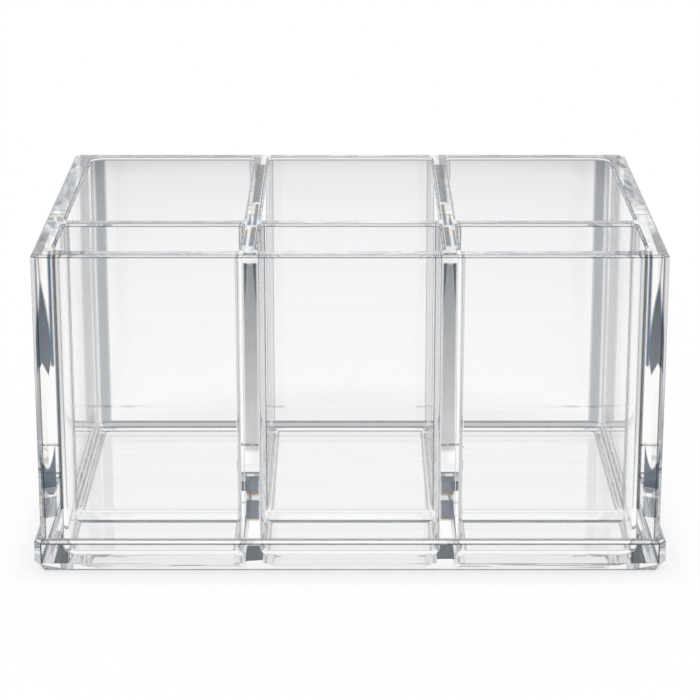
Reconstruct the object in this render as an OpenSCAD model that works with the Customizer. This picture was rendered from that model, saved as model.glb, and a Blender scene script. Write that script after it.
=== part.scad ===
// Clear vanity organizer with two rows of three compartments.
// A base tray with six coved pockets carries four mitred walls and a crossed set
// of dividers, all in clear acrylic and bonded face to face.
// Millimetres, +Z up. The origin is on the table under the middle of the base,
// and the front faces -Y.

/* [Base tray] */
// Width of the base from side to side
base_w = 230; // [190:1:300]
// Depth of the base from front to back
base_d = 165; // [140:1:220]
// Height of the base, up to the ledge where the walls stand
base_h = 12.5; // [11:0.5:20]
// Thickness of the floor under the compartments
floor_t = 4; // [3:0.1:6]
// How far the base stands out past the left and right walls
side_ledge = 2.2; // [1.6:0.1:4]
// How far the base stands out past the front and back walls
end_ledge = 2.8; // [1.6:0.1:5]
// Bevel on the four upright corners of the base
base_corner = 2.7; // [1:0.1:5]
// Bevel along the top edge of the base
base_top_bevel = 1.2; // [0.3:0.1:1.5]
// How far the bevel at the foot of the base cuts in
foot_bevel_in = 2.7; // [0.5:0.1:4]
// How far the bevel at the foot of the base climbs
foot_bevel_up = 3.8; // [0.5:0.1:6]
// Radius of the cove between the floor and the sides of a pocket
floor_cove_r = 3.6; // [1:0.1:6]

/* [Walls] */
// Height of the organizer from the table to the rim
overall_h = 119; // [60:1:180]
// Thickness of the left and right walls
side_t = 7.5; // [4:0.1:10]
// Thickness of the front and back walls
end_t = 7; // [4:0.1:10]
// Bevel on the four upright corners of the walls
wall_corner = 2.1; // [0.5:0.1:4]
// Bevel along every edge of the rim
rim_bevel = 0.8; // [0.3:0.1:1.2]
// Radius of the upright coves in the four inner corners
corner_cove_r = 5.5; // [2:0.1:10]

/* [Dividers] */
// Thickness of the two dividers that run from front to back
divider_t = 6.5; // [4:0.1:10]
// Thickness of the cross divider between the two rows
cross_t = 6.5; // [4:0.1:10]
// Depth of the compartments in the front row
front_row_d = 37; // [25:1:60]
// Radius of the coves where dividers meet walls and each other
joint_cove_r = 1.5; // [0.6:0.1:3]

/* [Hidden] */

columns = 3;
rows = 2;
arc_steps = 8;      // straight pieces in a quarter of a cove
overrun = 1;        // how far a cut runs past the face that it opens
slice_t = 0.01;     // thickness of the flat slices that a mouth bevel spans
clear_plastic = [0.87, 0.90, 0.93, 0.45];

outer_w = base_w - 2 * side_ledge;
outer_d = base_d - 2 * end_ledge;
inner_w = outer_w - 2 * side_t;
inner_d = outer_d - 2 * end_t;
wall_h = overall_h - base_h;
bay_w = (inner_w - (columns - 1) * divider_t) / columns;
cross_y = -inner_d / 2 + front_row_d;               // front face of the cross divider
back_row_d = inner_d - front_row_d - cross_t;
row_y = [-inner_d / 2, cross_y + cross_t];          // front face of each row
row_d = [front_row_d, back_row_d];
halving_z = (base_h + overall_h) / 2;               // where the crossed dividers interlock
mitre_reach = corner_cove_r * [side_t, end_t] / (side_t + end_t);

function bay_x(column) = -inner_w / 2 + column * (bay_w + divider_t);
function divider_x(gap) = bay_x(gap) + bay_w + divider_t / 2;

// Points along a quarter circle that starts at the given angle
function quarter(centre, r, start) =
    [for (k = [0 : arc_steps])
        centre + r * [cos(start + 90 * k / arc_steps), sin(start + 90 * k / arc_steps)]];

// A compartment's corner is wide where two walls meet and small beside a divider
function bay_corner_r(at_side, at_end) = at_side && at_end ? corner_cove_r : joint_cove_r;

// Plan of a compartment, grown by the given amount on every side
function bay_outline(column, row, grow) =
    let (x0 = bay_x(column) - grow,
         x1 = bay_x(column) + bay_w + grow,
         y0 = row_y[row] - grow,
         y1 = row_y[row] + row_d[row] + grow,
         front_left = grow + bay_corner_r(column == 0, row == 0),
         front_right = grow + bay_corner_r(column == columns - 1, row == 0),
         back_left = grow + bay_corner_r(column == 0, row == rows - 1),
         back_right = grow + bay_corner_r(column == columns - 1, row == rows - 1))
    concat(quarter([x1 - back_right, y1 - back_right], back_right, 0),
           quarter([x0 + back_left, y1 - back_left], back_left, 90),
           quarter([x0 + front_left, y0 + front_left], front_left, 180),
           quarter([x1 - front_right, y0 + front_right], front_right, 270));

// Upright section of a block with a bevelled top edge and, if asked for, a bevelled foot
function block_section(half, h, top, foot) =
    concat(foot.x > 0 ? [[-half, foot.y], [-half + foot.x, 0], [half - foot.x, 0], [half, foot.y]]
                      : [[-half, 0], [half, 0]],
           [[half, h - top], [half - top, h], [-half + top, h], [-half, h - top]]);

// Upright section of a pocket with a cove along each side of its floor
function pocket_section(width, depth) =
    concat(quarter([floor_cove_r, floor_cove_r], floor_cove_r, 180),
           quarter([width - floor_cove_r, floor_cove_r], floor_cove_r, 270),
           [[width, depth], [0, depth]]);

// Runs an upright section along Y, centred
module along_y(section, length) {
    translate([0, length / 2, 0])
        rotate([90, 0, 0])
            linear_extrude(length) polygon(section);
}

// A block whose upright corners, top edge and foot are bevelled all the way round
module bevelled_block(w, d, h, corner, top, foot) {
    long = w + d;
    corner_half = (w / 2 + d / 2 - corner) / sqrt(2);
    intersection() {
        along_y(block_section(w / 2, h, top, foot), d);
        rotate([0, 0, 90]) along_y(block_section(d / 2, h, top, foot), w);
        for (turn = [45, -45])
            rotate([0, 0, turn]) along_y(block_section(corner_half, h, top, foot), long);
    }
}

// What the four walls are cut from
module wall_block() {
    translate([0, 0, base_h])
        bevelled_block(outer_w, outer_d, wall_h, wall_corner, rim_bevel, [0, 0]);
}

// One compartment above the base, with its bevelled mouth
module bay(column, row) {
    translate([0, 0, base_h - overrun])
        linear_extrude(wall_h + overrun) polygon(bay_outline(column, row, 0));
    hull() {
        translate([0, 0, overall_h - rim_bevel])
            linear_extrude(slice_t) polygon(bay_outline(column, row, 0));
        translate([0, 0, overall_h])
            linear_extrude(slice_t) polygon(bay_outline(column, row, rim_bevel));
    }
}

// One pocket in the base, under the compartment in the same place
module pocket(column, row) {
    depth = base_h - floor_t + overrun;
    translate([0, 0, floor_t]) intersection() {
        linear_extrude(depth) polygon(bay_outline(column, row, 0));
        translate([bay_x(column), row_y[row] + row_d[row] / 2, 0])
            along_y(pocket_section(bay_w, depth), row_d[row]);
        translate([bay_x(column) + bay_w / 2, row_y[row], 0])
            rotate([0, 0, 90]) along_y(pocket_section(row_d[row], depth), bay_w);
    }
}

// Plan of the front wall: mitred from the outer corners, with half of each corner cove
module front_wall_plan() {
    polygon([
        [-outer_w / 2, -outer_d / 2],
        [outer_w / 2, -outer_d / 2],
        [inner_w / 2 - mitre_reach.x, -inner_d / 2 + mitre_reach.y],
        [inner_w / 2 - corner_cove_r, -inner_d / 2],
        [-inner_w / 2 + corner_cove_r, -inner_d / 2],
        [-inner_w / 2 + mitre_reach.x, -inner_d / 2 + mitre_reach.y],
    ]);
}

// Plan of the left wall, between the same mitres
module left_wall_plan() {
    polygon([
        [-outer_w / 2, outer_d / 2],
        [-outer_w / 2, -outer_d / 2],
        [-inner_w / 2 + mitre_reach.x, -inner_d / 2 + mitre_reach.y],
        [-inner_w / 2, -inner_d / 2 + corner_cove_r],
        [-inner_w / 2, inner_d / 2 - corner_cove_r],
        [-inner_w / 2 + mitre_reach.x, inner_d / 2 - mitre_reach.y],
    ]);
}

module front_wall() {
    color(clear_plastic) difference() {
        intersection() {
            wall_block();
            translate([0, 0, base_h]) linear_extrude(wall_h) front_wall_plan();
        }
        for (column = [0 : columns - 1]) bay(column, 0);
    }
}

module back_wall() {
    color(clear_plastic) difference() {
        intersection() {
            wall_block();
            translate([0, 0, base_h]) linear_extrude(wall_h) mirror([0, 1]) front_wall_plan();
        }
        for (column = [0 : columns - 1]) bay(column, rows - 1);
    }
}

module left_wall() {
    color(clear_plastic) difference() {
        intersection() {
            wall_block();
            translate([0, 0, base_h]) linear_extrude(wall_h) left_wall_plan();
        }
        for (row = [0 : rows - 1]) bay(0, row);
    }
}

module right_wall() {
    color(clear_plastic) difference() {
        intersection() {
            wall_block();
            translate([0, 0, base_h]) linear_extrude(wall_h) mirror([1, 0]) left_wall_plan();
        }
        for (row = [0 : rows - 1]) bay(columns - 1, row);
    }
}

// A box given by its two opposite corners
module span(low, high) {
    translate(low) cube(high - low);
}

// A divider from front to back, slotted from below to straddle the cross divider.
// It flares into coves at both ends and on both sides of the crossing.
module divider(gap) {
    x = divider_x(gap);
    half = divider_t / 2;
    flare = half + joint_cove_r;
    color(clear_plastic) difference() {
        union() {
            span([x - half, -inner_d / 2, base_h], [x + half, inner_d / 2, overall_h]);
            for (row = [0 : rows - 1])
                span([x - flare, row_y[row], base_h],
                     [x + flare, row_y[row] + row_d[row], overall_h]);
        }
        for (column = [gap, gap + 1], row = [0 : rows - 1]) bay(column, row);
        span([x - flare, cross_y, base_h - overrun],
             [x + flare, cross_y + cross_t, halving_z]);
    }
}

// The divider between the rows, slotted from above for the two long dividers.
// It flares into coves where it meets the side walls.
module cross_divider() {
    color(clear_plastic) difference() {
        union() {
            span([-inner_w / 2, cross_y, base_h], [inner_w / 2, cross_y + cross_t, overall_h]);
            for (side = [0, 1]) mirror([side, 0, 0])
                span([-inner_w / 2, cross_y - joint_cove_r, base_h],
                     [-inner_w / 2 + joint_cove_r, cross_y + cross_t + joint_cove_r, overall_h]);
        }
        for (column = [0 : columns - 1], row = [0 : rows - 1]) bay(column, row);
        for (gap = [0 : columns - 2])
            span([divider_x(gap) - divider_t / 2, cross_y - overrun, halving_z],
                 [divider_x(gap) + divider_t / 2, cross_y + cross_t + overrun,
                  overall_h + overrun]);
    }
}

// The floor, the plinth round it and the low ribs under the dividers, in one moulding
module base_tray() {
    color(clear_plastic) difference() {
        bevelled_block(base_w, base_d, base_h, base_corner, base_top_bevel,
                       [foot_bevel_in, foot_bevel_up]);
        for (column = [0 : columns - 1], row = [0 : rows - 1]) pocket(column, row);
    }
}

base_tray();
front_wall();
back_wall();
left_wall();
right_wall();
divider(0);  // left_divider
divider(1);  // right_divider
cross_divider();
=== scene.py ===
import math

import bmesh
import bpy
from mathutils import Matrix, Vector


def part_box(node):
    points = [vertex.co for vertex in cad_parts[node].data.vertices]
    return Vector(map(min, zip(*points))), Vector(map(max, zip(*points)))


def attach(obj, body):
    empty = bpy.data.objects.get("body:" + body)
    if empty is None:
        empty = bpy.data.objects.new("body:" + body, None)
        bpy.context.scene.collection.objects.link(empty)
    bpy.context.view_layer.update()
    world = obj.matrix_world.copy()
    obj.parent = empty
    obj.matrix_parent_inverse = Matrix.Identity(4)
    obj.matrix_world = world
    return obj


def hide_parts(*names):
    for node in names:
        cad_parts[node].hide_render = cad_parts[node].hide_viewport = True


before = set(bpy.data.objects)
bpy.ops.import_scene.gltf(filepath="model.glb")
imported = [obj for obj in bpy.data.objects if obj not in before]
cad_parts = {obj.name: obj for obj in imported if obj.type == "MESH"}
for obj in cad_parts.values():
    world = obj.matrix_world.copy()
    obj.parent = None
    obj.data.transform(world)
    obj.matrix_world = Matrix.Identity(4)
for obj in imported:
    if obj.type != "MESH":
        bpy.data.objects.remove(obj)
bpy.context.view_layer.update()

millimetre = 0.001
metre = 1000  # in millimetres
sideWallFrom = 80  # millimetres from the middle: what lies further out is a side wall

# The photograph's camera: straight in front, looking down a little
photoView = {
    "lens": 133.3,
    "inFrontOfBase": 0.8777,
    "height": 0.3563,
    "lookDown": 17.174,
}


def makeCamera():
    data = bpy.data.cameras.new("camera")
    data.sensor_width = 36
    data.lens = photoView["lens"]
    data.clip_start = 0.01
    data.clip_end = 100
    camera = bpy.data.objects.new("camera", data)
    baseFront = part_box("base_tray")[0].y
    camera.location = (0, baseFront - photoView["inFrontOfBase"], photoView["height"])
    camera.rotation_euler = (math.radians(90 - photoView["lookDown"]), 0, 0)
    bpy.context.scene.collection.objects.link(camera)
    bpy.context.scene.camera = camera


# Wraps a node's output, so that sums are written as plain expressions. Each operator adds
# one Math node and gives a new wire.
class Wire:
    def __init__(self, graph, socket):
        self.graph = graph
        self.socket = socket

    def math(self, operation, *values):
        return self.graph.node("ShaderNodeMath", {"operation": operation}, dict(enumerate(values)))

    def out(self, name):
        return Wire(self.graph, self.socket.node.outputs[name])

    def clamped(self):
        return self.math("MINIMUM", self.math("MAXIMUM", self, 0.0), 1.0)

    def __abs__(self):
        return self.math("ABSOLUTE", self)

    def __add__(self, other):
        return self.math("ADD", self, other)

    def __radd__(self, other):
        return self.math("ADD", other, self)

    def __sub__(self, other):
        return self.math("SUBTRACT", self, other)

    def __rsub__(self, other):
        return self.math("SUBTRACT", other, self)

    def __mul__(self, other):
        return self.math("MULTIPLY", self, other)

    def __rmul__(self, other):
        return self.math("MULTIPLY", other, self)

    def __truediv__(self, other):
        return self.math("DIVIDE", self, other)

    def __rtruediv__(self, other):
        return self.math("DIVIDE", other, self)

    def __gt__(self, other):
        return self.math("GREATER_THAN", self, other)

    def __lt__(self, other):
        return self.math("LESS_THAN", self, other)


# Adds nodes to one tree: first a node's settings, then the values or wires of its sockets
class Graph:
    def __init__(self, tree):
        self.tree = tree

    def feed(self, socket, value):
        if isinstance(value, Wire):
            self.tree.links.new(value.socket, socket)
        else:
            socket.default_value = value

    def node(self, kind, settings=None, inputs=None, output=0):
        made = self.tree.nodes.new(kind)
        for name, value in (settings or {}).items():
            if name == "stops":
                points = made.color_ramp.elements
                while len(points) < len(value):
                    points.new(0.5)
                for point, (place, colour) in zip(points, value):
                    point.position = place
                for point, (place, colour) in zip(points, value):
                    point.color = (*colour[:3], 1.0)
            else:
                setattr(made, name, value)
        for name, value in (inputs or {}).items():
            self.feed(made.inputs[name], value)
        return Wire(self, made.outputs[output]) if len(made.outputs) else made


def newMaterial(name):
    material = bpy.data.materials.new(name)
    material.use_nodes = True
    material.node_tree.nodes.clear()
    return material, Graph(material.node_tree)


def ramp(graph, stops, value):
    return graph.node("ShaderNodeValToRGB", {"stops": stops}, {"Fac": value})


def blend(graph, share, first, second, way="MIX"):
    return graph.node("ShaderNodeMix", {"data_type": "RGBA", "blend_type": way},
                      {0: share, 6: first, 7: second}, output=2)


def parts(graph, vector):
    return graph.node("ShaderNodeSeparateXYZ", {}, {0: vector})


def placeOnObject(graph):
    return graph.node("ShaderNodeTexCoord", output="Object")


def surface(graph, sockets):
    shader = graph.node("ShaderNodeBsdfPrincipled", {}, sockets)
    graph.node("ShaderNodeOutputMaterial", {}, {"Surface": shader})


# Clear cast acrylic, with the faint ripple that polishing leaves. Coves take painted shade, a
# darker tone than flat sheet, and eased edges darker still, where the acrylic bends light away.
# Along the rims the eased edges' painted shade is paler.
acrylic = {
    "ior": 1.49,
    "rippleScale": 22.0,
    "rippleHeight": 0.00003,
    "hazeScale": 160.0,
    "haze": 0.006,
    "sheet": (0.992, 0.994, 0.996, 1.0),
    # painted shade: the tone of coves, the eased edges' dark line, and its paler form along the
    # rims
    "cove": (0.10, 0.115, 0.13, 1.0),
    "edge": (0.03, 0.035, 0.042, 1.0),
    "rimEdge": (0.16, 0.175, 0.195, 1.0), "rimEdgeFrom": 0.1176,  # metres above the table
    "edgeRoughness": 0.05,
    "rimRoughness": 0.01,
    # painted reflections on the rims: facets of light with warm and cool fringes
    "facetAcross": 330.0, "facetAlong": 88.0, "facetSlant": 60.0, "facetFringe": 0.07,
    "fringedFrom": 0.5, "coolFrom": 0.5,  # shares of the facets
    "facet": ((0.0, (0.98, 0.985, 0.99)), (0.50, (0.98, 0.985, 0.99)), (0.51, (0.55, 0.56, 0.58)),
              (0.62, (0.55, 0.56, 0.58)), (0.63, (0.03, 0.04, 0.055)), (0.73, (0.12, 0.15, 0.19)),
              (0.74, (0.45, 0.55, 0.70)), (0.82, (0.45, 0.55, 0.70)), (0.83, (0.96, 0.96, 0.97))),
    "warm": (0.95, 0.62, 0.34, 1.0),
    "cool": (0.30, 0.52, 0.90, 1.0),
}


# Painted reflections: slanted facets of light painted on the rims of long upright pieces, each with
# a warm or a cool fringe
def paintedRimFacets(graph, place):
    split = parts(graph, place)
    along = split.out("Y") * acrylic["facetAlong"]
    across = split * acrylic["facetAcross"] + split.out("Y") * acrylic["facetSlant"]
    spot = graph.node("ShaderNodeCombineXYZ", {}, {
        "X": across, "Y": along, "Z": split.out("Z") * acrylic["facetAlong"]})
    cells = graph.node("ShaderNodeTexVoronoi", {}, {"Vector": spot, "Scale": 1.0}, output="Color")
    border = graph.node("ShaderNodeTexVoronoi", {"feature": "DISTANCE_TO_EDGE"}, {
        "Vector": spot, "Scale": 1.0})
    pick = parts(graph, cells)
    colour = ramp(graph, acrylic["facet"], pick)
    onBorder = (border < acrylic["facetFringe"]) * (pick > acrylic["fringedFrom"])
    fringe = blend(graph, pick.out("Y") > acrylic["coolFrom"], acrylic["warm"], acrylic["cool"])
    return blend(graph, onBorder, colour, fringe)


def makeAcrylic():
    material, graph = newMaterial("clearAcrylic")
    place = placeOnObject(graph)
    ripple = graph.node("ShaderNodeTexNoise", {}, {
        "Vector": place, "Scale": acrylic["rippleScale"], "Detail": 1.5, "Roughness": 0.4})
    smear = graph.node("ShaderNodeTexNoise", {}, {
        "Vector": place, "Scale": acrylic["hazeScale"], "Detail": 3.0, "Roughness": 0.6})
    bump = graph.node("ShaderNodeBump", {}, {
        "Strength": 1.0, "Distance": acrylic["rippleHeight"], "Height": ripple})
    # the painted shade of each face, set when the pieces are finished
    tone = graph.node("ShaderNodeAttribute", {"attribute_name": "coveTone"}, output="Fac")
    surface(graph, {
        "Base Color": blend(graph, tone, acrylic["sheet"], acrylic["cove"]),
        "Roughness": smear * acrylic["haze"],
        "IOR": acrylic["ior"],
        "Transmission Weight": 1.0,
        "Normal": bump,
    })
    return material


# The rims of the side walls and dividers, painted with reflections. A divider's rim shows long
# slate blocks, painted reflections, with a warm and a cool fringe. Each block is given by its front
# and back end, how far its middle lies inwards of the rim's middle, half its width, and how it
# widens backwards.
paintedRimBlocks = {
    "blocks": ((-2.0, 61.0, 0.45, 1.45, 0.004), (-37.0, -5.0, 1.1, 0.75, 0.0),
               (-37.0, -20.0, -0.9, 0.85, -0.035), (-66.8, -39.8, 1.0, 1.05, 0.0),
               (-66.0, -44.0, -1.5, 0.5, 0.0)),
    "soft": 0.5, "clearFront": -8.0, "fringe": 0.2, "fringeEnd": 0.9, "fringeShare": 0.8,
    "slate": (0.015, 0.018, 0.023, 1.0),
}


def makeRim(size):
    material, graph = newMaterial("acrylicRimPaintedReflections")
    place = placeOnObject(graph)
    split = parts(graph, place)
    along = split.out("Y") * metre
    across = abs(split) * metre
    inwards = size["dividerX"] * metre - across
    rim = paintedRimBlocks

    def inside(distance):
        return (distance / rim["soft"] + 0.5).clamped()

    onDivider = across < sideWallFrom
    colour = paintedRimFacets(graph, place)
    colour = blend(graph, onDivider * (along > rim["clearFront"]), colour, acrylic["sheet"])
    for front, back, middle, half, widen in rim["blocks"]:
        off = inwards - middle
        sideways = half + (along - front) * widen - abs(off)
        endways = across.math("MINIMUM", back - along, along - front)
        block = inside(sideways) * inside(endways) * onDivider
        within = (sideways > -rim["fringe"]) * (endways > -rim["fringeEnd"]) * onDivider
        heart = (sideways > rim["fringe"]) * (endways > 0)
        pastMiddle = along > (front + back) / 2
        colour = blend(graph, block, colour, rim["slate"])
        colour = blend(graph, within * (1 - heart) * rim["fringeShare"], colour,
                       blend(graph, pastMiddle, acrylic["cool"], acrylic["warm"]))
    surface(graph, {
        "Base Color": colour, "Roughness": acrylic["rimRoughness"],
        "IOR": acrylic["ior"], "Transmission Weight": 1.0})
    return material


# The eased edges: a thin, slightly rough chamfer painted dark as shade, mottled by noise towards
# the cove's painted shade; along the rims the painted shade is paler
def makeEasedEdge():
    material, graph = newMaterial("easedEdge")
    place = placeOnObject(graph)
    shadeMottle = graph.node("ShaderNodeTexNoise", {}, {
        "Vector": place, "Scale": acrylic["hazeScale"], "Detail": 2.0, "Roughness": 0.6})
    colour = blend(graph, shadeMottle, acrylic["edge"], acrylic["cove"])
    alongRim = parts(graph, place).out("Z") > acrylic["rimEdgeFrom"]
    surface(graph, {
        "Base Color": blend(graph, alongRim, colour, acrylic["rimEdge"]),
        "Roughness": acrylic["edgeRoughness"],
        "IOR": acrylic["ior"],
        "Transmission Weight": 1.0,
    })
    return material


# The cemented faces inside a joint: light runs straight through them
def makeCement():
    material, graph = newMaterial("cementedFace")
    surface(graph, {
        "Base Color": acrylic["sheet"], "Roughness": 0.1, "IOR": acrylic["ior"], "Alpha": 0.0})
    return material


# The cement where the side walls and dividers end against the front, painted with the reflections
# and shade that the acrylic shows there: dark wedges, lines, flanks and blocks of painted shade,
# with painted glints and reflections. Sizes in millimetres, with heights above the table. Slopes,
# shares and gains are plain numbers.
cementAndPaintedReflections = {
    "gap": 0.02, "soft": 0.45, "fringed": 0.9, "endSoft": 0.6, "shows": 0.1,
    # the front mitre of a side wall
    "wallMiddle": 109.2,
    "wedgeTop": 109.5, "wedgeSlope": 0.11, "wedgeHalf": 2.6, "wedge": 0.9,
    "wedgeLean": 0.45, "leanSlope": 0.045,
    "wedgeFoot": 79.0, "tipSlope": 2.4, "tipAt": 0.7, "heelSlope": 9.0, "heelAt": -1.4,
    "notchLow": 31.0, "notchHigh": 38.3, "notchHollow": 1.3,
    "darkGain": 1.8, "darkFrom": 0.02, "paleFrom": 0.8, "paleSlope": 0.03,
    "darkFringe": ((0.0, "warm"), (0.36, "warm"), (0.5, "cool"), (0.66, "cool"), (0.85, "slate")),
    "jewelLow": 19.8, "jewelHigh": 27.6, "jewel": 0.72, "jewelAcross": 0.19, "jewelUp": 0.022,
    "jewelTones": ((0.0, (0.95, 0.55, 0.22)), (0.05, (0.10, 0.12, 0.15)),
                   (0.12, (0.25, 0.32, 0.40)), (0.30, (0.80, 0.92, 1.0)),
                   (0.42, (0.30, 0.40, 0.50)), (0.50, (0.95, 0.93, 0.90)),
                   (0.62, (0.30, 0.36, 0.42)), (0.78, (0.12, 0.15, 0.19)),
                   (0.90, (0.5, 0.62, 0.8)), (0.97, (0.95, 0.55, 0.22))),
    "innerLine": 106.4, "innerLineHalf": 0.42, "innerLineFoot": 77.0, "innerLineSoft": 0.4,
    "coveBandLow": 104.3, "coveBandHigh": 105.5, "coveBand": 0.8, "coveBandFoot": 22.0,
    "glintLow": 28.7, "glintHigh": 31.0, "glintShare": 0.45,
    # the front end of a divider; its ramp runs up from the table to rampTop
    "dividerSide": 2.0, "dividerMiddle": 0.75, "dividerPlain": 2.1, "dividerMargin": 0.25,
    "dividerEdge": 0.16, "fieldFrom": 0.3, "rampTop": 120,
    "dividerUp": ((0.0, 0.0), (0.147, 0.0), (0.150, 0.92), (0.212, 0.92), (0.2145, 0.5),
                  (0.2285, 0.5), (0.231, 0.92), (0.289, 0.92), (0.292, 0.0),
                  (0.366, 0.0), (0.378, 0.38), (0.952, 0.72), (0.96, 0.05), (1.0, 0.05)),
    "flankTop": 112.5, "flankHalf": 0.9, "flankSlope": 0.062, "flank": 0.93,
    "blockFoot": 17.9, "blockMiddle": 27.6, "blockHigh": 36.0, "blockFringe": 0.5,
    "blockSide": 0.1,
    "dividerGlintLow": 25.7, "dividerGlintHigh": 27.4,
    "block": (0.30, 0.34, 0.385, 1.0),
    "slate": (0.045, 0.08, 0.11, 1.0), "paleSlate": (0.22, 0.29, 0.36, 1.0),
    "paintedGlint": (0.95, 0.96, 0.97, 1.0),
    "warm": (0.95, 0.55, 0.22, 1.0),
    "cool": (0.20, 0.45, 0.85, 1.0),
}


def makeCementAndPaintedReflections(size):
    material, graph = newMaterial("cementAndPaintedReflections")
    split = parts(graph, placeOnObject(graph))
    across = abs(split) * metre
    up = split.out("Z") * metre
    line = cementAndPaintedReflections

    def inside(distance, soft="soft"):
        return (distance / line[soft] + 0.5).clamped()

    def both(first, *others):
        for other in others:
            first = across.math("MINIMUM", first, other)
        return first

    def either(first, *others):
        for other in others:
            first = across.math("MAXIMUM", first, other)
        return first

    wall = across > sideWallFrom
    # On a wall's mitre, painted shade and painted reflections: a dark wedge that widens downwards
    # and ends in a slanted foot, a notch below it, an upright line and band, a painted glint, and a
    # bright many-toned painted reflection
    off = across - line["wallMiddle"]
    below = line["wedgeTop"] - up
    half = both(either(below * line["wedgeSlope"], 0.0), line["wedgeHalf"])
    lean = either(line["wedgeLean"] - below * line["leanSlope"], 0.0)
    foot = line["wedgeFoot"] - line["tipSlope"] * abs(off - line["tipAt"])
    foot = foot + line["heelSlope"] * either(line["heelAt"] - off, 0.0)
    wedge = both(inside(half - abs(off - lean), "fringed"),
                 inside((up - foot) * line["endSoft"], "fringed"))
    within = inside(line["wedgeHalf"] - abs(off))
    hollow = line["notchHigh"] + line["notchHollow"] * off * off
    notch = both(inside((hollow - up) * line["endSoft"], "fringed"),
                 inside((up - line["notchLow"]) * line["endSoft"], "fringed"), within)
    jewel = both(inside(line["jewelHigh"] - up), inside(up - line["jewelLow"]), within)
    jewel = jewel * line["jewel"]
    upright = inside(line["innerLineHalf"] - abs(across - line["innerLine"]), "fringed")
    upright = upright * inside((up - line["innerLineFoot"]) * line["innerLineSoft"])
    band = both(inside(line["coveBandHigh"] - across), inside(across - line["coveBandLow"]))
    band = band * line["coveBand"] * inside(up - line["coveBandFoot"])
    # a painted glint, a whitish band across the mitre
    paintedGlint = both(inside(up - line["glintLow"]), inside(line["glintHigh"] - up), within)
    paintedGlint = paintedGlint * line["glintShare"]
    dark = either(wedge, notch, upright)
    onMitre = either((dark * line["darkGain"]).clamped() * line["wedge"], band, paintedGlint, jewel)

    # On a divider's end, painted shade: a grey field that pales downwards, with two dark flanks at
    # its top, and below it two blocks with a painted glint between them
    greys = [(place, (shade,) * 3) for place, shade in line["dividerUp"]]
    onEnd = ramp(graph, greys, up / line["rampTop"])
    field = onEnd > line["fieldFrom"]
    aside = abs(size["dividerX"] * metre - across - line["dividerMiddle"])
    flank = line["flankHalf"] + (line["flankTop"] - up) * line["flankSlope"]
    flank = inside(aside - flank, "fringed") * field * (up > line["blockHigh"]) * line["flank"]
    onEnd = onEnd + field * inside(aside - line["dividerPlain"]) * line["dividerEdge"]
    onEnd = either(onEnd, flank)
    onEnd = onEnd * inside(size["dividerX"] * metre + line["dividerSide"] - across)
    onEnd = onEnd * inside(line["dividerPlain"] + line["dividerMargin"] - aside, "fringed")

    tones = [(place, line[name]) for place, name in line["darkFringe"]]
    pale = (below * line["paleSlope"]).clamped() * (dark > line["paleFrom"])
    fringe = blend(graph, pale, ramp(graph, tones, dark), line["paleSlate"])
    colour = blend(graph, wall * (dark > line["darkFrom"]), line["slate"], fringe)
    slant = off * line["jewelAcross"] + 0.5 + (up - line["jewelLow"]) * line["jewelUp"]
    colour = blend(graph, jewel > line["shows"], colour, ramp(graph, line["jewelTones"], slant))
    upEdge = up < line["blockFoot"] + line["blockFringe"]
    upEdge = upEdge + (up > line["blockMiddle"]) * (up < line["blockMiddle"] + line["blockFringe"])
    sideEdge = aside > line["dividerPlain"] + line["blockSide"]
    blocks = blend(graph, sideEdge, line["block"], line["cool"])
    blocks = blend(graph, upEdge, blocks, line["warm"])
    colour = blend(graph, (1 - wall) * (up < line["blockHigh"]), colour, blocks)
    # a painted glint, a white band between the divider end's blocks
    endGlint = (up > line["dividerGlintLow"]) * (up < line["dividerGlintHigh"])
    isGlint = wall * (paintedGlint > line["shows"]) + (1 - wall) * endGlint
    surface(graph, {
        "Base Color": blend(graph, isGlint, colour, line["paintedGlint"]), "Roughness": 0.5,
        "IOR": 1.0, "Alpha": wall * onMitre + (1 - wall) * onEnd})
    return material


# Sizes of the acrylic, in millimetres; the outer ones come from the frame
stock = {
    "sideWall": 7.5,
    "endWall": 7.0,
    "longDivider": 6.5,
    "crossDivider": 6.5,
    "frontRow": 37.0,
    "floor": 4.0,
    "wallCorner": 2.1,
    "rimBevel": 0.8,
    "baseCorner": 2.7,
    "baseTopBevel": 1.2,
    "footIn": 2.7,
    "footUp": 3.8,
    "contactUp": 0.7,
    "cornerCove": 5.5,
    "jointCove": 1.5,
    "floorCove": 3.6,
    "overrun": 1.0,
}


def layOut():
    size = {name: value * millimetre for name, value in stock.items()}
    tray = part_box("base_tray")[1]
    size["baseX"], size["baseY"], size["baseTop"] = tray
    size["outX"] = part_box("right_wall")[1].x
    size["outY"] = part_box("back_wall")[1].y
    size["rim"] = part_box("back_wall")[1].z
    size["inX"] = size["outX"] - size["sideWall"]
    size["inY"] = size["outY"] - size["endWall"]
    size["crossFront"] = -size["inY"] + size["frontRow"]
    size["crossBack"] = size["crossFront"] + size["crossDivider"]
    size["bay"] = (2 * size["inX"] - 2 * size["longDivider"]) / 3
    size["dividerX"] = (size["bay"] + size["longDivider"]) / 2
    size["halving"] = (size["baseTop"] + size["rim"]) / 2
    size["flare"] = size["longDivider"] / 2 + size["jointCove"]
    return size


def closedMesh(name, bm, *materials):
    bmesh.ops.recalc_face_normals(bm, faces=bm.faces)
    mesh = bpy.data.meshes.new(name)
    bm.to_mesh(mesh)
    bm.free()
    for material in materials:
        mesh.materials.append(material)
    made = bpy.data.objects.new(name, mesh)
    bpy.context.scene.collection.objects.link(made)
    return made


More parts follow.
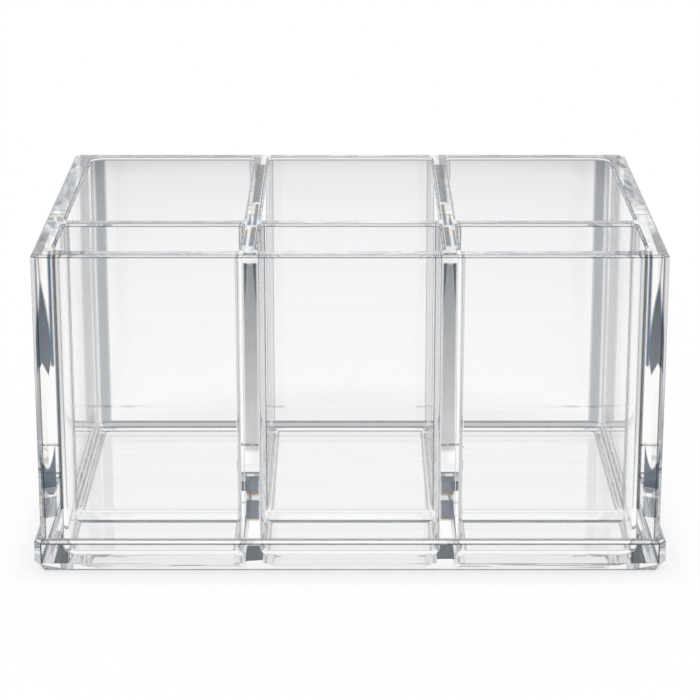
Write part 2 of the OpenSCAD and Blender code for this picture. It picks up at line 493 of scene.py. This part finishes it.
# A rectangle with bevelled corners, whose sides and corners all step in alike
def bevelledRing(halfX, halfY, corner, stepIn, z):
    x, y = halfX - stepIn, halfY - stepIn
    cut = corner - stepIn * (2 - math.sqrt(2))
    return [Vector((sx * (x - cutX), sy * (y - cutY), z)) for sx, sy, cutX, cutY in (
        (1, -1, cut, 0), (1, -1, 0, cut), (1, 1, 0, cut), (1, 1, cut, 0),
        (-1, 1, cut, 0), (-1, 1, 0, cut), (-1, -1, 0, cut), (-1, -1, cut, 0))]


# Skins a stack of rings and closes both ends; cemented ends take the second material
def stackRings(name, rings, clear, cement, cementedEnds):
    bm = bmesh.new()
    rows = [[bm.verts.new(point) for point in ring] for ring in rings]
    for lower, upper in zip(rows, rows[1:]):
        for a in range(len(lower)):
            b = (a + 1) % len(lower)
            bm.faces.new((lower[a], lower[b], upper[b], upper[a]))
    bottom = bm.faces.new(rows[0])
    top = bm.faces.new(rows[-1])
    bottom.material_index = int("bottom" in cementedEnds)
    top.material_index = int("top" in cementedEnds)
    return closedMesh(name, bm, clear, cement)


def baseBlock(size, clear, cement):
    half = (size["baseX"], size["baseY"], size["baseCorner"])
    wall = (size["outX"], size["outY"], size["wallCorner"])
    top = size["baseTop"]
    contactIn = size["footIn"] * (1 - size["contactUp"] / size["footUp"])
    return stackRings("baseBlock", [
        bevelledRing(*half, size["footIn"], 0),
        bevelledRing(*half, contactIn, size["contactUp"]),
        bevelledRing(*half, 0, size["footUp"]),
        bevelledRing(*half, 0, top - size["baseTopBevel"]),
        bevelledRing(*half, size["baseTopBevel"], top),
        bevelledRing(*wall, 0, top),
    ], clear, cement, ("top",))


def wallBlock(size, clear, cement):
    wall = (size["outX"], size["outY"], size["wallCorner"])
    return stackRings("wallBlock", [
        bevelledRing(*wall, 0, size["baseTop"]),
        bevelledRing(*wall, 0, size["rim"] - size["rimBevel"]),
        bevelledRing(*wall, size["rimBevel"], size["rim"]),
    ], clear, cement, ("bottom",))


# One compartment as a solid to cut away: rounded corners, a cove round the floor
# and a bevelled mouth. It bends a plain cylinder into shape, ring by ring.
compartment = {"cornerSteps": 12, "coveSteps": 12, "sharpest": 0.2}


def compartmentTree(clear):
    tree = bpy.data.node_groups.new("compartment", "GeometryNodeTree")
    sockets = {}
    for name in ("Centre X", "Centre Y", "Width", "Depth", "Floor Height", "Rim Height",
                 "Floor Cove", "Mouth Bevel", "Overrun",
                 "Back Right", "Back Left", "Front Left", "Front Right"):
        socket = tree.interface.new_socket(name=name, in_out="INPUT", socket_type="NodeSocketFloat")
        sockets[name] = socket.identifier
    tree.interface.new_socket(name="Solid", in_out="OUTPUT", socket_type="NodeSocketGeometry")
    graph = Graph(tree)
    given = graph.node("NodeGroupInput")
    perCorner = compartment["cornerSteps"] + 1
    around = 4 * perCorner
    upward = compartment["coveSteps"] + 2
    tube = graph.node("GeometryNodeMeshCylinder", {"fill_type": "NGON"}, {
        "Vertices": around, "Side Segments": upward, "Radius": 1.0, "Depth": float(upward)})
    split = parts(graph, graph.node("GeometryNodeInputPosition"))
    turn = split.math("ARCTAN2", split.out("Y"), split)
    index = split.math("ROUND", turn * (around / math.tau) + around)
    index = index.math("MODULO", index, float(around))
    corner = index.math("FLOOR", index / perCorner)
    angle = (corner + (index - corner * perCorner) / (perCorner - 1)) * (math.pi / 2)
    right = (corner < 0.5) + (corner > 2.5)
    back = corner < 1.5
    level = split.math("ROUND", split.out("Z") + upward / 2)
    bend = split.math("MINIMUM", level / compartment["coveSteps"], 1.0) * (math.pi / 2)
    atRim = level > compartment["coveSteps"] + 0.5
    pastRim = level > compartment["coveSteps"] + 1.5
    cove = given.out("Floor Cove")
    mouth = pastRim * (given.out("Mouth Bevel") + given.out("Overrun"))
    stepIn = cove * (1 - bend.math("SINE", bend)) - mouth
    coveZ = given.out("Floor Height") + cove * (1 - bend.math("COSINE", bend))
    rimZ = given.out("Rim Height") - given.out("Mouth Bevel")
    z = coveZ + atRim * (rimZ - coveZ) + mouth
    backRadius = right * given.out("Back Right") + (1 - right) * given.out("Back Left")
    frontRadius = right * given.out("Front Right") + (1 - right) * given.out("Front Left")
    radius = back * backRadius + (1 - back) * frontRadius - stepIn
    radius = radius.math("MAXIMUM", radius, compartment["sharpest"] * millimetre)
    reachX = given.out("Width") / 2 - stepIn - radius
    reachY = given.out("Depth") / 2 - stepIn - radius
    x = (right * 2 - 1) * reachX + radius * angle.math("COSINE", angle)
    y = (back * 2 - 1) * reachY + radius * angle.math("SINE", angle)
    bent = graph.node("GeometryNodeSetPosition", {}, {
        "Geometry": tube,
        "Position": graph.node("ShaderNodeCombineXYZ", {}, {
            "X": x + given.out("Centre X"), "Y": y + given.out("Centre Y"), "Z": z})})
    solid = graph.node("GeometryNodeRealizeInstances", {}, {"Geometry": bent})
    solid = graph.node("GeometryNodeSetMaterial", {}, {"Geometry": solid, "Material": clear})
    graph.node("NodeGroupOutput", {}, {"Solid": solid})
    return tree, sockets


def cutCompartments(size, clear):
    tree, sockets = compartmentTree(clear)
    rows = ((-size["inY"], size["crossFront"]), (size["crossBack"], size["inY"]))
    pitch = size["bay"] + size["longDivider"]
    # The one corner of an outer compartment that lies in a corner of the walls
    inWalls = {(1, 1): "Back Right", (1, -1): "Back Left",
               (0, -1): "Front Left", (0, 1): "Front Right"}
    bm = bmesh.new()
    for row, (front, back) in enumerate(rows):
        for column in (-1, 0, 1):
            values = {
                "Centre X": column * pitch, "Centre Y": (front + back) / 2,
                "Width": size["bay"], "Depth": back - front,
                "Floor Height": size["floor"], "Rim Height": size["rim"],
                "Floor Cove": size["floorCove"], "Mouth Bevel": size["rimBevel"],
                "Overrun": size["overrun"],
            }
            values.update({corner: size["jointCove"] for corner in inWalls.values()})
            if column:
                values[inWalls[row, column]] = size["cornerCove"]
            holder = bpy.data.objects.new("compartment", bpy.data.meshes.new("compartment"))
            bpy.context.scene.collection.objects.link(holder)
            modifier = holder.modifiers.new("compartment", "NODES")
            modifier.node_group = tree
            for name, value in values.items():
                modifier[sockets[name]] = value
            ready = holder.evaluated_get(bpy.context.evaluated_depsgraph_get())
            bm.from_mesh(bpy.data.meshes.new_from_object(ready))
            bpy.data.objects.remove(holder)
    for face in bm.faces:
        face.material_index = 0
    return closedMesh("compartments", bm, clear)


# An upright block on a plan outline, whose faces become cemented faces where it cuts
def planBlock(name, outline, low, high, cement):
    bm = bmesh.new()
    lower = [bm.verts.new((x, y, low)) for x, y in outline]
    upper = [bm.verts.new((x, y, high)) for x, y in outline]
    bm.faces.new(lower)
    bm.faces.new(upper)
    for a in range(len(outline)):
        b = (a + 1) % len(outline)
        bm.faces.new((lower[a], lower[b], upper[b], upper[a]))
    return closedMesh(name, bm, cement)


def cut(name, source, tool, operation):
    made = source.copy()
    made.data = source.data.copy()
    made.name = made.data.name = name
    bpy.context.scene.collection.objects.link(made)
    modifier = made.modifiers.new("cut", "BOOLEAN")
    modifier.operation = operation
    modifier.solver = "MANIFOLD"
    modifier.material_mode = "TRANSFER"
    modifier.object = tool
    ready = made.evaluated_get(bpy.context.evaluated_depsgraph_get())
    mesh = bpy.data.meshes.new_from_object(ready)
    made.modifiers.clear()
    made.data = mesh
    mesh.name = name
    return made


# Plan outlines of the pieces. Where a piece ends in a cemented joint the outline lies on
# the joint, and elsewhere it runs out into the open air.
def planOutlines(size):
    inX, inY, flare = size["inX"], size["inY"], size["flare"]
    spread = size["sideWall"] + size["endWall"]
    reachX = size["cornerCove"] * size["sideWall"] / spread
    reachY = size["cornerCove"] * size["endWall"] / spread
    farX, farY = inX + 2 * size["sideWall"], inY + 2 * size["endWall"]
    front = [(-farX, -farY), (farX, -farY), (inX - reachX, -inY + reachY)]
    for x in (size["dividerX"], -size["dividerX"]):
        front += [(x + flare, -inY + reachY), (x + flare, -inY), (x - flare, -inY),
                  (x - flare, -inY + reachY)]
    front.append((-inX + reachX, -inY + reachY))
    low, high = size["crossFront"] - size["jointCove"], size["crossBack"] + size["jointCove"]
    gap = cementAndPaintedReflections["gap"] * millimetre
    left = [(-farX, farY), (-farX, -farY + gap), (-inX + reachX, -inY + reachY + gap),
            (-inX + reachX, low), (-inX, low), (-inX, high), (-inX + reachX, high),
            (-inX + reachX, inY - reachY)]
    cross = [(-inX, low)]
    for x in (-size["dividerX"], size["dividerX"]):
        cross += [(x - flare, low), (x - flare, size["crossFront"]),
                  (x + flare, size["crossFront"]), (x + flare, low)]
    cross += [(inX, low), (inX, high)]
    for x in (size["dividerX"], -size["dividerX"]):
        cross += [(x + flare, high), (x + flare, size["crossBack"]), (x - flare, size["crossBack"]),
                  (x - flare, high)]
    cross.append((-inX, high))
    return {
        "front": front,
        "back": [(x, -y) for x, y in front],
        "left": left,
        "right": [(-x, y) for x, y in left],
        "cross": cross,
    }


def rectangle(lowX, highX, lowY, highY):
    return [(lowX, lowY), (highX, lowY), (highX, highY), (lowX, highY)]


def makePieces():
    size = layOut()
    clear, cement = makeAcrylic(), makeCement()
    finishes = makeEasedEdge(), makeCementAndPaintedReflections(size), makeRim(size)
    outlines = planOutlines(size)
    low, high = size["baseTop"] - size["overrun"], size["rim"] + size["overrun"]
    hollows = cutCompartments(size, clear)
    scrap = [hollows]
    base = baseBlock(size, clear, cement)
    walls = wallBlock(size, clear, cement)
    scrap += [base, walls]
    pieces = {"base_tray": cut("baseTray", base, hollows, "DIFFERENCE")}
    upper = cut("upper", walls, hollows, "DIFFERENCE")
    scrap.append(upper)
    for side in ("front", "back", "left", "right"):
        region = planBlock(side, outlines[side], low, high, cement)
        pieces[side + "_wall"] = cut(side + "Wall", upper, region, "INTERSECT")
        scrap.append(region)
    crossing = planBlock("crossing", outlines["cross"], low, high, cement)
    half = size["longDivider"] / 2
    for x in (-size["dividerX"], size["dividerX"]):
        opening = rectangle(x - half, x + half, size["crossFront"] - half, size["crossBack"] + half)
        slot = planBlock("slot", opening, size["halving"], high + half, cement)
        slotted = cut("slotted", crossing, slot, "DIFFERENCE")
        scrap += [slot, crossing]
        crossing = slotted
    scrap.append(crossing)
    pieces["cross_divider"] = cut("crossDivider", upper, crossing, "INTERSECT")
    for side, x in (("left", -size["dividerX"]), ("right", size["dividerX"])):
        front = -size["inY"] + cementAndPaintedReflections["gap"] * millimetre
        outline = rectangle(x - size["flare"], x + size["flare"], front, size["inY"])
        region = planBlock(side, outline, low, high, cement)
        whole = cut("whole", upper, region, "INTERSECT")
        pieces[side + "_divider"] = cut(side + "Divider", whole, crossing, "DIFFERENCE")
        scrap += [region, whole]
    for thing in scrap:
        bpy.data.objects.remove(thing)
    for node, piece in pieces.items():
        finish(piece, node, size, *finishes)
    return pieces


# How strongly the painted shade shows on each kind of face: most in the corners where two walls
# meet behind, less on joints, the plinth and its bevels. A crease is the first narrow face of a
# cove. The floor's cove is banded with painted shade: a dark line, grey, a dark line, clear, a dark
# line.
# Bands and turns go by degrees, and the easing of sharp edges is in millimetres.
coveTone = {
    "upright": 0.9, "joint": 0.45, "chamfer": 0.05, "corner": 0.35,
    "footBevel": 0.17, "ledge": 0.8, "plinth": 0.1,
    "easing": 0.28, "easeAbove": 25.0, "smoothBelow": 22.0, "crease": 7.6,
    "turned": ((0.0, 0.0), (5.0, 1.0), (45.0, 1.0), (56.0, 0.3), (90.0, 0.1)),
    "backBands": ((15.1, None), (37.6, 0.7), (45.1, None), (75.1, 0.0), (90.0, None)),
    "sideBands": ((7.6, 0.75), (30.1, 0.2), (37.6, 0.6), (75.1, 0.0), (90.0, 0.75)),
    "crossBands": ((60.1, 0.0), (90.0, None)),
    "frontBands": ((82.6, 0.0), (90.0, None)),
}


# How a face lies, by the parts of its normal, and how near a thing is, in metres
facing = {"flat": 0.9995, "square": 0.9, "slanted": 0.3, "steep": 0.1, "upright": 0.05}
near = {"edge": 0.001, "top": 0.0005, "mouth": 0.002, "rim": 0.0001, "line": 1e-5, "weld": 1e-6}
coating = {"clear": 0, "cemented": 1, "eased": 2, "line": 3, "rim": 4}  # material slots


def between(steps, value):
    for (low, first), (high, second) in zip(steps, steps[1:]):
        if value <= high:
            return first + (second - first) * (value - low) / (high - low)
    return steps[-1][1]


# The painted shade of a face, or None where it takes the eased edges' dark painted shade
def toneOf(face, size):
    x, y, z = (abs(part) for part in face.normal)
    centre = face.calc_center_median()
    if face.material_index:
        return 0.0
    outside = (abs(centre.x) > size["inX"] + near["edge"]
               or abs(centre.y) > size["inY"] + near["edge"])
    if max(x, y, z) > facing["flat"]:
        onPlinth = outside and centre.z < size["baseTop"] + near["top"]
        if onPlinth and centre.y < size["outY"] - near["edge"]:
            if z > facing["square"] and centre.z > size["footUp"]:
                return coveTone["ledge"]
            return coveTone["plinth"] * (z < facing["steep"])
        return 0.0
    if outside:
        # the contact strip at the foot takes the eased edges' dark painted shade, a painted contact
        # shadow
        if centre.z < size["contactUp"]:
            return None
        if centre.z < size["footUp"]:
            return coveTone["footBevel"]
        return coveTone["corner" if z < facing["upright"] else "chamfer"]
    if z < facing["upright"]:
        turned = math.degrees(math.atan2(x, y))
        corner = (abs(centre.x) > size["inX"] - size["cornerCove"]
                  and abs(centre.y) > size["inY"] - size["cornerCove"])
        if not corner:
            fromFlat = min(turned, 90 - turned)
            return None if fromFlat < coveTone["crease"] else coveTone["joint"]
        return coveTone["upright"] * between(coveTone["turned"], turned) if centre.y > 0 else 0.0
    if centre.z > size["rim"] - near["mouth"]:
        return coveTone["chamfer"]
    lift = math.degrees(math.asin(min(1.0, z)))
    bands = "sideBands"
    if y > x:
        atBack = centre.y > size["inY"] - 2 * size["floorCove"]
        bands = "backBands" if atBack else "crossBands" if face.normal.y < 0 else "frontBands"
    return next((tone for limit, tone in coveTone[bands] if lift < limit), 0.0)


# Whether an edge gets eased: all sharp ones, save where cement meets them, at the top of
# the foot's bevel and low on the back
def isSharp(edge, size):
    if len(edge.link_faces) != 2 or any(face.material_index for face in edge.link_faces):
        return False
    points = [vert.co for vert in edge.verts]
    if all(abs(point.z - size["footUp"]) < near["line"] for point in points):
        return False
    if all(point.y > size["outY"] - near["line"]
           and point.z < size["baseTop"] + near["line"] for point in points):
        return False
    return edge.calc_face_angle(0) > math.radians(coveTone["easeAbove"])


# Eases a piece's edges, gives each face its painted shade and material, and hands the piece over
def finish(piece, node, size, edgeMaterial, paintedCementMaterial, paintedRimMaterial):
    bm = bmesh.new()
    bm.from_mesh(piece.data)
    bmesh.ops.remove_doubles(bm, verts=bm.verts, dist=near["weld"])
    sharp = [edge for edge in bm.edges if isSharp(edge, size)]
    bmesh.ops.bevel(bm, geom=sharp, offset=coveTone["easing"] * millimetre, offset_type="OFFSET",
                    segments=1, profile=0.5, affect="EDGES", clamp_overlap=False,
                    material=coating["eased"])
    tone = bm.faces.layers.float.new("coveTone")
    bm.normal_update()
    alongside = node in ("left_wall", "right_wall", "left_divider", "right_divider")
    for face in bm.faces:
        shade = toneOf(face, size)
        face[tone] = shade or 0.0
        if shade is None:
            face.material_index = coating["eased"]
        x, y, z = (abs(part) for part in face.normal)
        centre = face.calc_center_median()
        # rims of the side walls and dividers take the material painted with reflections
        atRim = z > facing["square"] and centre.z > size["rim"] - near["rim"]
        if alongside and atRim and face.material_index == coating["clear"]:
            face.material_index = coating["rim"]
        # front mitres and divider ends take the cement painted with reflections and shade
        atFront = centre.y < -size["inY"] + size["cornerCove"]
        mitre = "wall" in node and min(x, y) > facing["slanted"]
        end = "divider" in node and y > facing["square"]
        cemented = face.material_index == coating["cemented"]
        if cemented and alongside and atFront and (mitre or end):
            face.material_index = coating["line"]
    bm.to_mesh(piece.data)
    bm.free()
    mesh = piece.data
    for material in (edgeMaterial, paintedCementMaterial, paintedRimMaterial):
        mesh.materials.append(material)
    mesh.shade_smooth()
    mesh.set_sharp_from_angle(angle=math.radians(coveTone["smoothBelow"]))
    even = piece.modifiers.new("even", "WEIGHTED_NORMAL")
    even.keep_sharp = True
    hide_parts(node)
    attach(piece, "root")
    print("made", piece.name, len(mesh.polygons), "faces")


# A white table that runs on to a white background. The table glows, and what the acrylic shows of
# it and of the world is painted: through the acrylic the table shows a little greyer with distance,
# and reflected inside the acrylic it shows painted reflections of the rest of the studio: the
# table's dark surround, flags at its sides, and on the wall behind a dim band, bright panels and a
# narrow dim rail.
# Ramps over the table run outwards in units of tableReach. Ramps round it run from
# straight behind, 0, to the side in front, 1. Ramps up the wall run from level to above.
# A panel is given by how far round and how far up it goes.
studio = {
    "floorHalf": 12.0,
    "floorGap": 0.0003,
    "shadowFar": 0.03, "shadowNear": 0.25, "shadowReach": 0.009,
    "glanceShare": 0.25,
    "tableReach": 0.7, "surroundSlope": 6.0, "surroundFrom": 1.5,
    "white": (1.0, 1.0, 1.0, 1.0),
    "through": ((0.0, (0.90, 0.90, 0.905)), (0.17, (0.90, 0.90, 0.905)), (0.22, (1.0, 1.0, 1.0)),
                (0.32, (1.0, 1.0, 1.0)), (0.62, (0.91, 0.91, 0.915)),
                (0.80, (0.82, 0.82, 0.83)), (0.95, (0.46, 0.465, 0.48))),
    "once": ((0.0, (1.0, 1.0, 1.0)), (0.30, (0.98, 0.98, 0.98)), (0.36, (0.72, 0.73, 0.74)),
             (0.60, (0.66, 0.67, 0.68)), (0.85, (0.6, 0.6, 0.6))),
    "twice": ((0.0, (0.85, 0.85, 0.85)), (0.36, (1.0, 1.0, 0.99)), (0.66, (0.85, 0.86, 0.88)),
              (0.75, (0.4, 0.42, 0.45)), (0.9, (0.3, 0.32, 0.34))),
    "twiceRound": ((0.0, (1.0, 1.0, 1.0)), (0.33, (1.0, 0.97, 0.92)),
                   (0.36, (0.25, 0.25, 0.27)), (0.55, (0.3, 0.32, 0.36)),
                   (0.66, (0.75, 0.78, 0.82)), (0.85, (0.85, 0.85, 0.85))),
    "often": ((0.0, (0.88, 0.88, 0.88)), (0.10, (0.8, 0.8, 0.8)), (0.16, (0.5, 0.51, 0.53)),
              (0.66, (0.4, 0.41, 0.43)), (0.85, (0.85, 0.85, 0.85))),
    "causticScale": 38.0, "causticBend": 1.2, "causticReach": 0.16,
    "caustic": ((0.0, (1.0, 1.0, 1.0)), (0.42, (1.0, 1.0, 1.0)), (0.45, (1.0, 0.88, 0.76)),
                (0.475, (0.62, 0.63, 0.66)), (0.55, (0.7, 0.74, 0.8)), (0.575, (0.7, 0.82, 1.0)),
                (0.60, (1.0, 1.0, 1.0)), (0.70, (0.92, 0.92, 0.93))),
    "wallUp": ((0.0, (0.35, 0.36, 0.38)), (0.10, (0.16, 0.165, 0.18)),
               (0.27, (0.12, 0.13, 0.145)), (0.30, (0.26, 0.34, 0.45)),
               (0.34, (0.5, 0.5, 0.5)), (0.52, (0.8, 0.8, 0.8)), (0.75, (1.0, 1.0, 1.0))),
    "railLow": 0.2384, "railHigh": 0.2427, "railTone": (0.13, 0.145, 0.16, 1.0),
    "panelLow": 0.2246, "panels": ((0.025, 0.29), (0.07, 0.2337)),
    "wallRound": ((0.0, (1.0, 1.0, 1.0)), (0.07, (0.9, 0.9, 0.9)), (0.12, (0.35, 0.35, 0.36)),
                  (0.62, (0.35, 0.35, 0.36)), (0.80, (1.0, 1.0, 1.0))),
}


# The painted tone that the table and the world show, by what the ray did: straight through the
# acrylic, after one reflection, after two, or led along inside it by more. Light that went in and
# out of several sheets sees only a share of the reflected tone, and the camera itself sees white.
# Limits lie halfway between counts.
def seenBy(graph, path, through, once, twice, often):
    bounces, inside = path.out("Glossy Depth"), path.out("Transmission Depth") < 2.5
    reflected = blend(graph, bounces > 2.5, blend(graph, bounces > 1.5, once, twice), often)
    glance = blend(graph, studio["glanceShare"], through, reflected)
    reflected = blend(graph, inside, glance, reflected)
    seen = blend(graph, bounces > 0.5, through, reflected)
    return blend(graph, path.out("Is Camera Ray"), seen, studio["white"])


def roundFromBehind(split):
    return split.math("ARCTAN2", abs(split), split.out("Y")) / math.pi


def makeFloor():
    bm = bmesh.new()
    half, z = studio["floorHalf"], -studio["floorGap"]
    bm.faces.new([bm.verts.new((x, y, z)) for x, y in rectangle(-half, half, -half, half)])
    material, graph = newMaterial("whiteTable")
    path = graph.node("ShaderNodeLightPath")
    split = parts(graph, placeOnObject(graph))
    turn = roundFromBehind(split)
    squared = split * split + split.out("Y") * split.out("Y")
    reach = squared.math("SQRT", squared) / studio["tableReach"]
    through = ramp(graph, studio["through"], reach)
    surround = (reach * studio["surroundSlope"] - studio["surroundFrom"]).clamped()
    once = blend(graph, surround, studio["white"], ramp(graph, studio["once"], turn))
    twice = blend(graph, 1.0, ramp(graph, studio["twice"], reach),
                  ramp(graph, studio["twiceRound"], turn), "MULTIPLY")
    often = ramp(graph, studio["often"], turn)
    # Close under the object the table shows painted light: the bright and dark caustic patches that
    # acrylic throws, seen after two or more reflections inside the acrylic
    noise = graph.node("ShaderNodeTexNoise", {"noise_dimensions": "2D"}, {
        "Vector": placeOnObject(graph), "Scale": studio["causticScale"],
        "Detail": 1.0, "Distortion": studio["causticBend"]})
    near = (reach * studio["tableReach"]) < studio["causticReach"]
    patches = ramp(graph, studio["caustic"], noise)
    twice = blend(graph, near, twice, patches, "MULTIPLY")
    often = blend(graph, near, often, patches, "MULTIPLY")
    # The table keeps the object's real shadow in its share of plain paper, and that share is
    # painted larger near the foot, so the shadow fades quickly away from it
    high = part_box("base_tray")[1]
    aside = split.math("MAXIMUM", abs(split) - high.x, 0.0)
    ahead = split.math("MAXIMUM", abs(split.out("Y")) - high.y, 0.0)
    gone = (aside * aside + ahead * ahead) / studio["shadowReach"] ** 2
    shadow = studio["shadowFar"] + studio["shadowNear"] * gone.math("POWER", math.e, 0 - gone)
    seen = path.out("Is Camera Ray") * (1 - shadow)
    seen = seen + path.out("Is Glossy Ray") + path.out("Is Transmission Ray")
    seen = seen.math("MINIMUM", seen, 1.0)
    paper = graph.node("ShaderNodeBsdfDiffuse", {}, {"Color": studio["white"]})
    glow = graph.node("ShaderNodeEmission", {}, {
        "Color": seenBy(graph, path, through, once, twice, often), "Strength": 1.0})
    mixed = graph.node("ShaderNodeMixShader", {}, {0: seen, 1: paper, 2: glow})
    graph.node("ShaderNodeOutputMaterial", {}, {"Surface": mixed})
    floor = closedMesh("floor", bm, material)


def makeWorld():
    world = bpy.data.worlds.new("studio")
    world.use_nodes = True
    world.node_tree.nodes.clear()
    graph = Graph(world.node_tree)
    path = graph.node("ShaderNodeLightPath")
    split = parts(graph, graph.node("ShaderNodeTexCoord", output="Generated"))
    turn = roundFromBehind(split)
    up = split.math("ARCSINE", split.out("Z")) / (math.pi / 2)
    twice = blend(graph, 1.0, ramp(graph, studio["wallUp"], up),
                  ramp(graph, studio["wallRound"], turn), "MULTIPLY")
    once, often = ramp(graph, studio["once"], turn), ramp(graph, studio["often"], turn)
    panel = 0
    for farRound, farUp in studio["panels"]:
        panel = panel + (turn < farRound) * (up < farUp)
    panel = (panel > 0.5) * (up > studio["panelLow"])
    rail = (up > studio["railLow"]) * (up < studio["railHigh"])
    once = blend(graph, rail, once, studio["railTone"])
    twice = blend(graph, rail, blend(graph, panel, twice, studio["white"]), studio["railTone"])
    seen = seenBy(graph, path, studio["white"], once, twice, often)
    glow = graph.node("ShaderNodeBackground", {}, {"Color": seen, "Strength": 1.0})
    graph.node("ShaderNodeOutputWorld", {}, {"Surface": glow})
    bpy.context.scene.world = world


# Clear walls one behind another need many bounces
def setLook(bounces=40):
    scene = bpy.context.scene
    scene.view_settings.view_transform = "Standard"
    scene.cycles.max_bounces = bounces
    scene.cycles.transmission_bounces = bounces
    scene.cycles.glossy_bounces = bounces
    scene.cycles.transparent_max_bounces = bounces


makeCamera()
print("camera placed")
makePieces()
print("acrylic cut and cemented")
makeFloor()
makeWorld()
setLook()
print("studio set")
